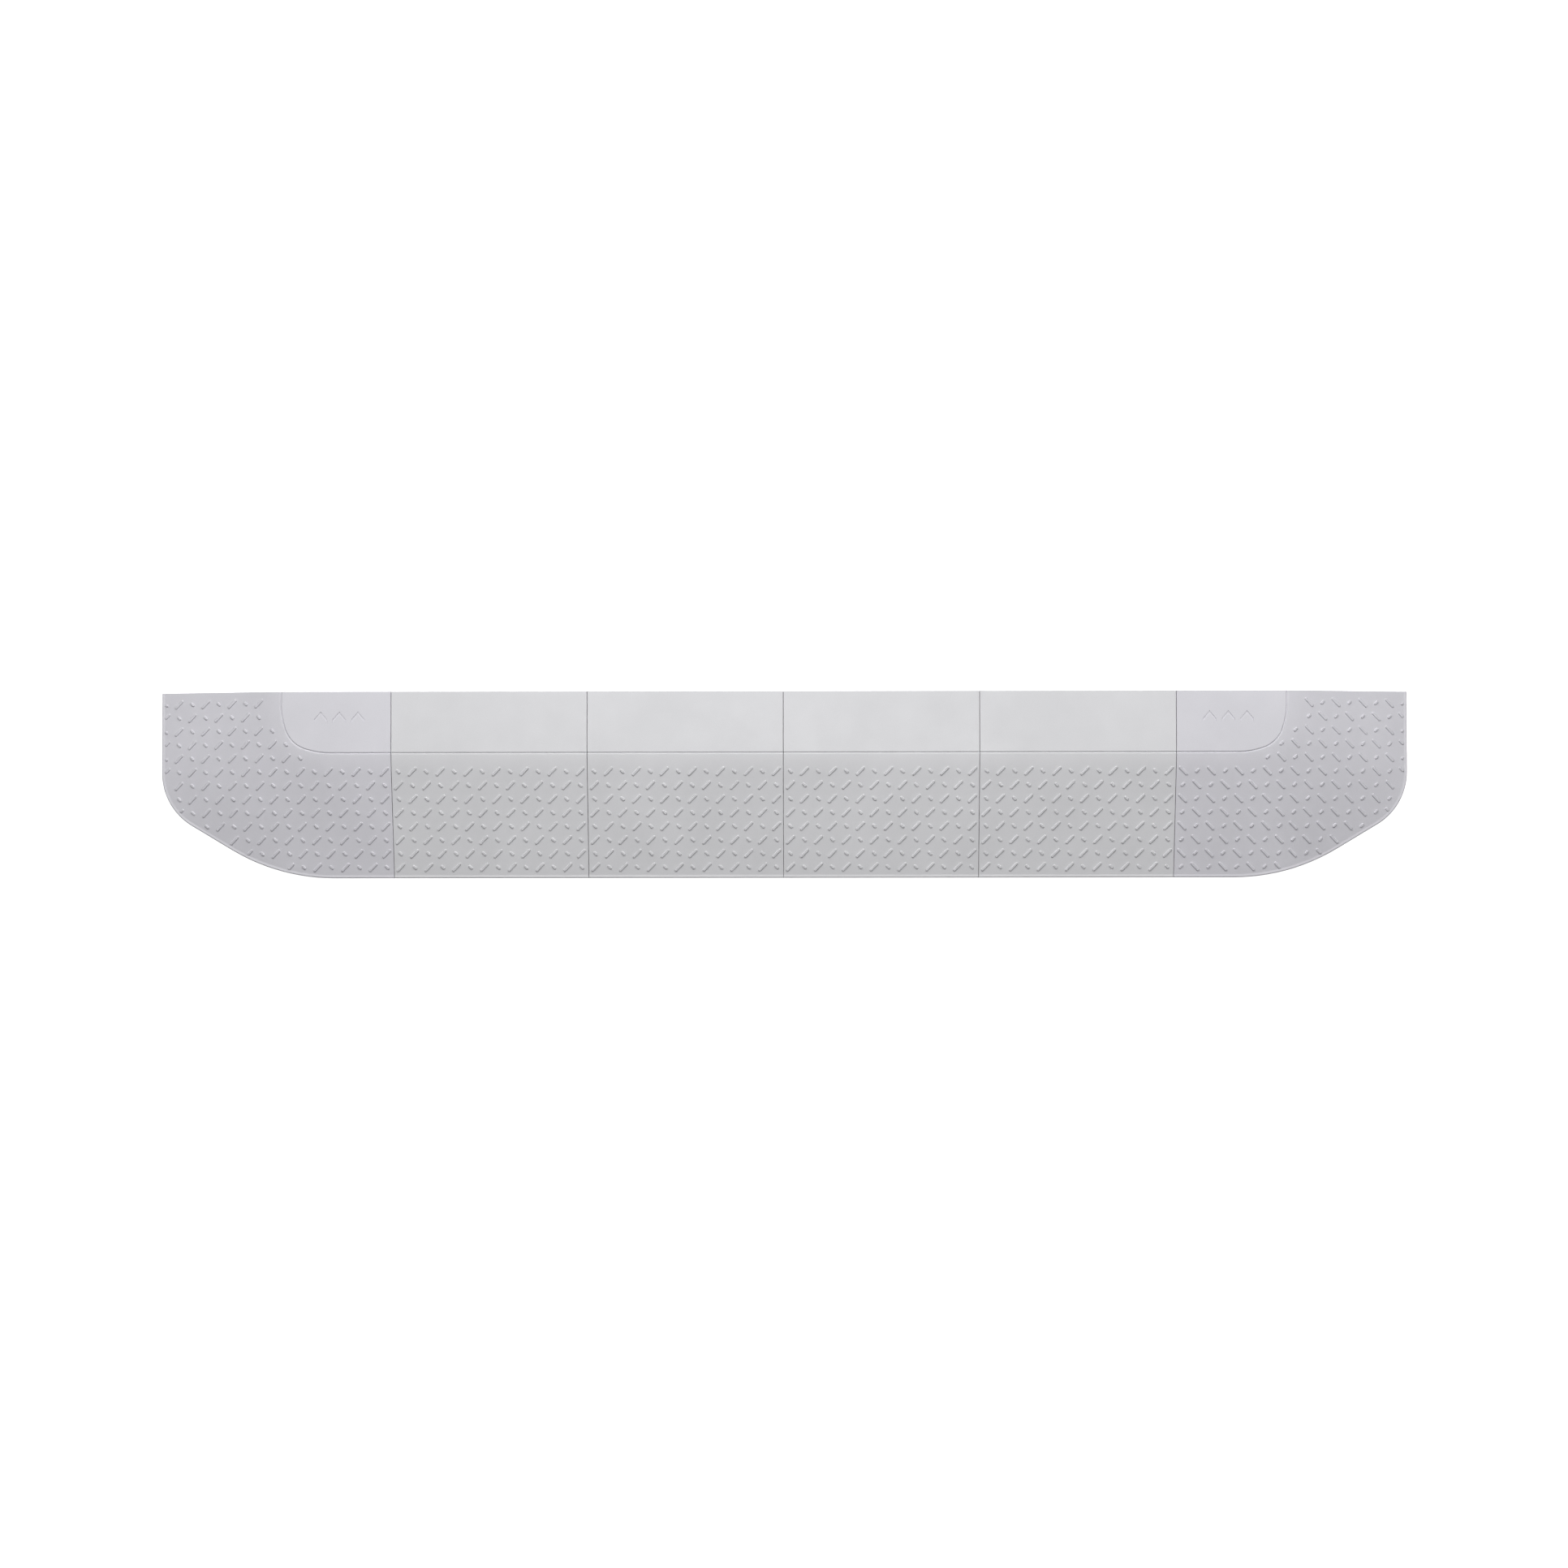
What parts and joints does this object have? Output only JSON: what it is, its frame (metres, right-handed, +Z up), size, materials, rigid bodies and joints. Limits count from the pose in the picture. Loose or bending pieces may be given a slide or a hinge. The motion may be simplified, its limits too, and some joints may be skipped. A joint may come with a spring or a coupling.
{
  "type": "threshold ramp",
  "caption": "Low modular threshold ramp: flat rear platform, grooved edge, treaded slope with rounded ends, ribbed underside, joining clips and rubber feet.",
  "frame": {"origin": "on the floor, under the centre of the whole ramp's footprint", "axes": "+X along the doorway, +Y towards the door sill (the high side), +Z up"},
  "size_m": [1.008, 0.15, 0.024],
  "materials": {
    "ramp_plastic": "light grey, fine spark-eroded grain",
    "clip_plastic": "mid grey, satin",
    "grip_rubber": "dark grey, soft matte"
  },
  "bodies": {
    "left_end": {"left_end_front_grip": "grip_rubber", "left_end_inner_foot": "grip_rubber", "left_end_outer_foot": "grip_rubber", "left_end_shell": "ramp_plastic", "left_end_side_grip": "grip_rubber", "seam_1_front_clip": "clip_plastic", "seam_1_rear_clip": "clip_plastic"},
    "middle_1": {"middle_1_front_grip": "grip_rubber", "middle_1_left_foot": "grip_rubber", "middle_1_right_foot": "grip_rubber", "middle_1_shell": "ramp_plastic", "seam_2_front_clip": "clip_plastic", "seam_2_rear_clip": "clip_plastic"},
    "middle_2": {"middle_2_front_grip": "grip_rubber", "middle_2_left_foot": "grip_rubber", "middle_2_right_foot": "grip_rubber", "middle_2_shell": "ramp_plastic", "seam_3_front_clip": "clip_plastic", "seam_3_rear_clip": "clip_plastic"},
    "middle_3": {"middle_3_front_grip": "grip_rubber", "middle_3_left_foot": "grip_rubber", "middle_3_right_foot": "grip_rubber", "middle_3_shell": "ramp_plastic", "seam_4_front_clip": "clip_plastic", "seam_4_rear_clip": "clip_plastic"},
    "middle_4": {"middle_4_front_grip": "grip_rubber", "middle_4_left_foot": "grip_rubber", "middle_4_right_foot": "grip_rubber", "middle_4_shell": "ramp_plastic", "seam_5_front_clip": "clip_plastic", "seam_5_rear_clip": "clip_plastic"},
    "right_end": {"right_end_front_grip": "grip_rubber", "right_end_inner_foot": "grip_rubber", "right_end_outer_foot": "grip_rubber", "right_end_shell": "ramp_plastic", "right_end_side_grip": "grip_rubber"}
  },
  "joints": [
    {"name": "middle_1_lift", "type": "slide", "parent": "left_end", "child": "middle_1", "axis": [0, 0, 1], "range_m": [0, 0.02]},
    {"name": "middle_2_lift", "type": "slide", "parent": "middle_1", "child": "middle_2", "axis": [0, 0, 1], "range_m": [0, 0.02]},
    {"name": "middle_3_lift", "type": "slide", "parent": "middle_2", "child": "middle_3", "axis": [0, 0, 1], "range_m": [0, 0.02]},
    {"name": "middle_4_lift", "type": "slide", "parent": "middle_3", "child": "middle_4", "axis": [0, 0, 1], "range_m": [0, 0.02]},
    {"name": "right_end_lift", "type": "slide", "parent": "middle_4", "child": "right_end", "axis": [0, 0, 1], "range_m": [0, 0.02]}
  ]
}
